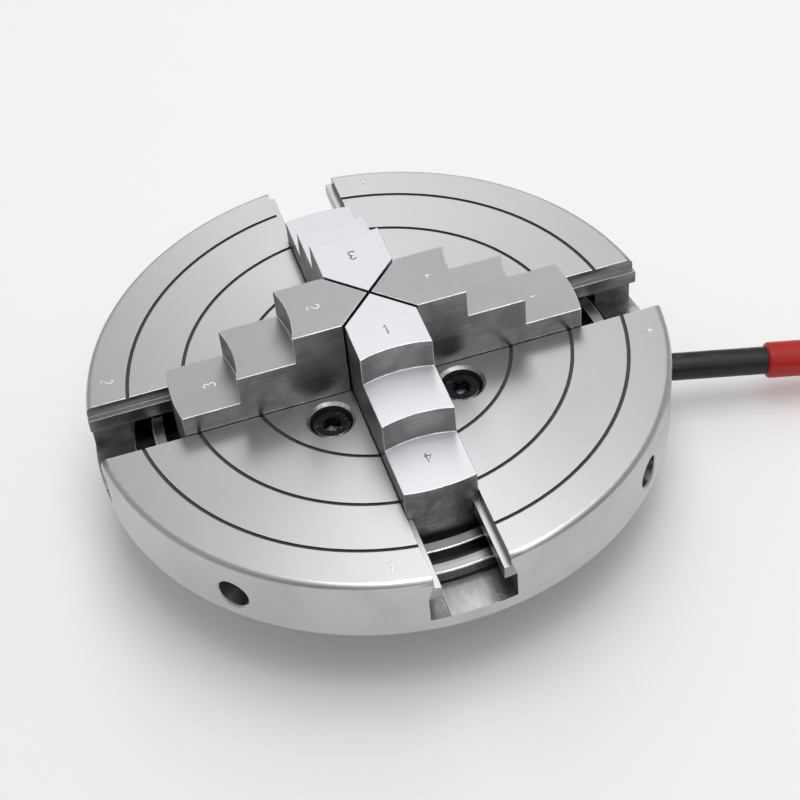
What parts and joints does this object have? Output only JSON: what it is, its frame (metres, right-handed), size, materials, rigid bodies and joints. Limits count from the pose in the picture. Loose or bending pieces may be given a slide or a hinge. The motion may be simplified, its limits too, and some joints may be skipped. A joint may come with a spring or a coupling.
{
  "type": "lathe chuck",
  "caption": "Self-centring scroll chuck with stepped reversible jaws, turned by a lever bar in its back ring; holds round and square work on a lathe or turntable.",
  "frame": {"origin": "centre of the back face, on the chuck's axis", "axes": "+Z along the axis from the back face to the jaws; jaw 1 slides along -Y, jaw 2 along -X, jaw 3 along +Y, jaw 4 along +X"},
  "size_m": [0.3343, 0.2, 0.083],
  "materials": {
    "body_steel": "fine ground, bright",
    "jaw_steel": "surface ground, satin",
    "scroll_steel": "turned and milled, oiled",
    "plate_steel": "turned",
    "black_screw": "black oxide",
    "pin_steel": "ground",
    "black_bar": "black oxide, a little worn",
    "red_vinyl": "glossy dipped vinyl"
  },
  "bodies": {
    "chuck": {"chuck_body": "body_steel", "back_plate": "plate_steel", "body_screw_1": "black_screw", "body_screw_2": "black_screw", "body_screw_3": "black_screw", "body_screw_4": "black_screw", "dowel_pin_1": "pin_steel", "dowel_pin_2": "pin_steel"},
    "scroll": {"scroll_ring": "scroll_steel"},
    "jaw_1": {"jaw_1": "jaw_steel"},
    "jaw_2": {"jaw_2": "jaw_steel"},
    "jaw_3": {"jaw_3": "jaw_steel"},
    "jaw_4": {"jaw_4": "jaw_steel"},
    "lever": {"lever_bar": "black_bar", "lever_grip": "red_vinyl"}
  },
  "joints": [
    {"name": "scroll_spin", "type": "hinge", "parent": "chuck", "child": "scroll", "pos_m": [0, 0, 0.0208], "axis": [0, 0, 1], "range_deg": [0, 1800]},
    {"name": "jaw_1_slide", "type": "slide", "parent": "chuck", "child": "jaw_1", "axis": [0, -1, 0], "range_m": [0, 0.0451]},
    {"name": "jaw_2_slide", "type": "slide", "parent": "chuck", "child": "jaw_2", "axis": [-1, 0, 0], "range_m": [0, 0.0451]},
    {"name": "jaw_3_slide", "type": "slide", "parent": "chuck", "child": "jaw_3", "axis": [0, 1, 0], "range_m": [0, 0.0451]},
    {"name": "jaw_4_slide", "type": "slide", "parent": "chuck", "child": "jaw_4", "axis": [1, 0, 0], "range_m": [0, 0.0451]},
    {"name": "lever_pull", "type": "slide", "parent": "scroll", "child": "lever", "axis": [0.9756, -0.2074, -0.0727], "range_m": [0, 0.03]}
  ],
  "couplings": [
    {"joint": "jaw_1_slide", "follows": "scroll_spin", "m_per_rad": 0.0014324},
    {"joint": "jaw_2_slide", "follows": "scroll_spin", "m_per_rad": 0.0014324},
    {"joint": "jaw_3_slide", "follows": "scroll_spin", "m_per_rad": 0.0014324},
    {"joint": "jaw_4_slide", "follows": "scroll_spin", "m_per_rad": 0.0014324}
  ]
}
